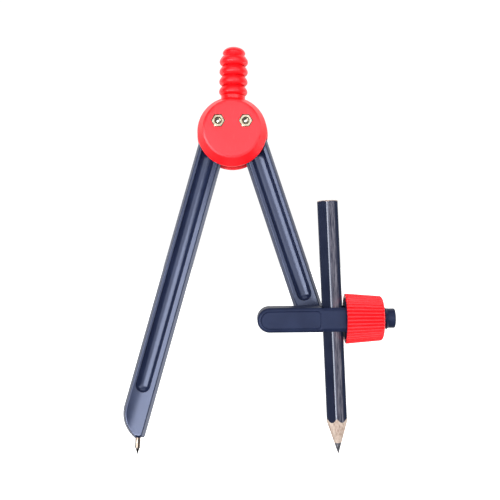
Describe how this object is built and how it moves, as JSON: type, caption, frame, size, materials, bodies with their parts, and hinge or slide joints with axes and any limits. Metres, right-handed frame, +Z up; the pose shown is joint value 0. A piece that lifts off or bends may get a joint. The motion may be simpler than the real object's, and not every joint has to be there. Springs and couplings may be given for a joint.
{
  "type": "drafting compass set",
  "caption": "School drafting compass: geared plastic legs on a ribbed grip head, a steel needle, and a swinging clamp arm whose ribbed knob holds a short pencil.",
  "frame": {"origin": "centre of the head's flat back face", "axes": "+Z up from the needle's point to the grip, +Y out of the back face, +X from the needle leg to the pencil leg"},
  "size_m": [0.0927, 0.0248, 0.1419],
  "materials": {
    "red_plastic": "moulded, satin gloss",
    "navy_plastic": "moulded, satin gloss",
    "nickel_plate": "nickel-plated brass, bright",
    "bright_steel": "zinc-plated, bright",
    "dark_steel": "hardened, dark",
    "pencil_wood": "sharpened bare wood under navy lacquer",
    "graphite": "graphite, slightly metallic"
  },
  "bodies": {
    "head": {"grip_head": "red_plastic", "rear_cover": "red_plastic", "pivot_screw_left": "bright_steel", "pivot_screw_right": "bright_steel", "screw_washer_left": "bright_steel", "screw_washer_right": "bright_steel", "hex_nut_left": "nickel_plate", "hex_nut_right": "nickel_plate"},
    "needle_leg": {"needle_leg": "navy_plastic", "needle_ferrule": "nickel_plate", "needle_pin": "dark_steel"},
    "pencil_leg": {"pencil_leg": "navy_plastic"},
    "arm": {"clamp_arm": "navy_plastic", "arm_pivot_screw": "bright_steel", "arm_pivot_washer": "bright_steel", "arm_spring_washer": "bright_steel"},
    "thrust_washer": {"thrust_washer": "navy_plastic"},
    "knob": {"clamp_knob": "red_plastic"},
    "pencil": {"pencil_casing": "pencil_wood", "pencil_lead": "graphite"}
  },
  "joints": [
    {"name": "pencil_leg_swing", "type": "hinge", "parent": "head", "child": "pencil_leg", "pos_m": [0.0047, -0.0073, 0.0034], "axis": [0, 1, 0], "range_deg": [-45, 15.6]},
    {"name": "needle_leg_swing", "type": "hinge", "parent": "head", "child": "needle_leg", "pos_m": [-0.0047, -0.0073, 0.0034], "axis": [0, 1, 0], "range_deg": [-15.6, 45]},
    {"name": "arm_swing", "type": "hinge", "parent": "pencil_leg", "child": "arm", "pos_m": [0.0272, -0.0073, -0.06384], "axis": [0, -1, 0], "range_deg": [-75, 45]},
    {"name": "washer_slide", "type": "slide", "parent": "arm", "child": "thrust_washer", "axis": [0.9999, 0, 0.0105], "range_m": [0, 0.0025]},
    {"name": "knob_turn", "type": "hinge", "parent": "thrust_washer", "child": "knob", "pos_m": [0.03815, -0.0164, -0.06372], "axis": [0.9999, 0, 0.0105], "range_deg": [0, 643]},
    {"name": "pencil_slide", "type": "slide", "parent": "arm", "child": "pencil", "axis": [-0.044, 0, 0.999], "range_m": [-0.025, 0.01]}
  ],
  "couplings": [
    {"joint": "needle_leg_swing", "follows": "pencil_leg_swing", "ratio": -1},
    {"joint": "knob_turn", "follows": "washer_slide", "rad_per_m": 4488}
  ]
}
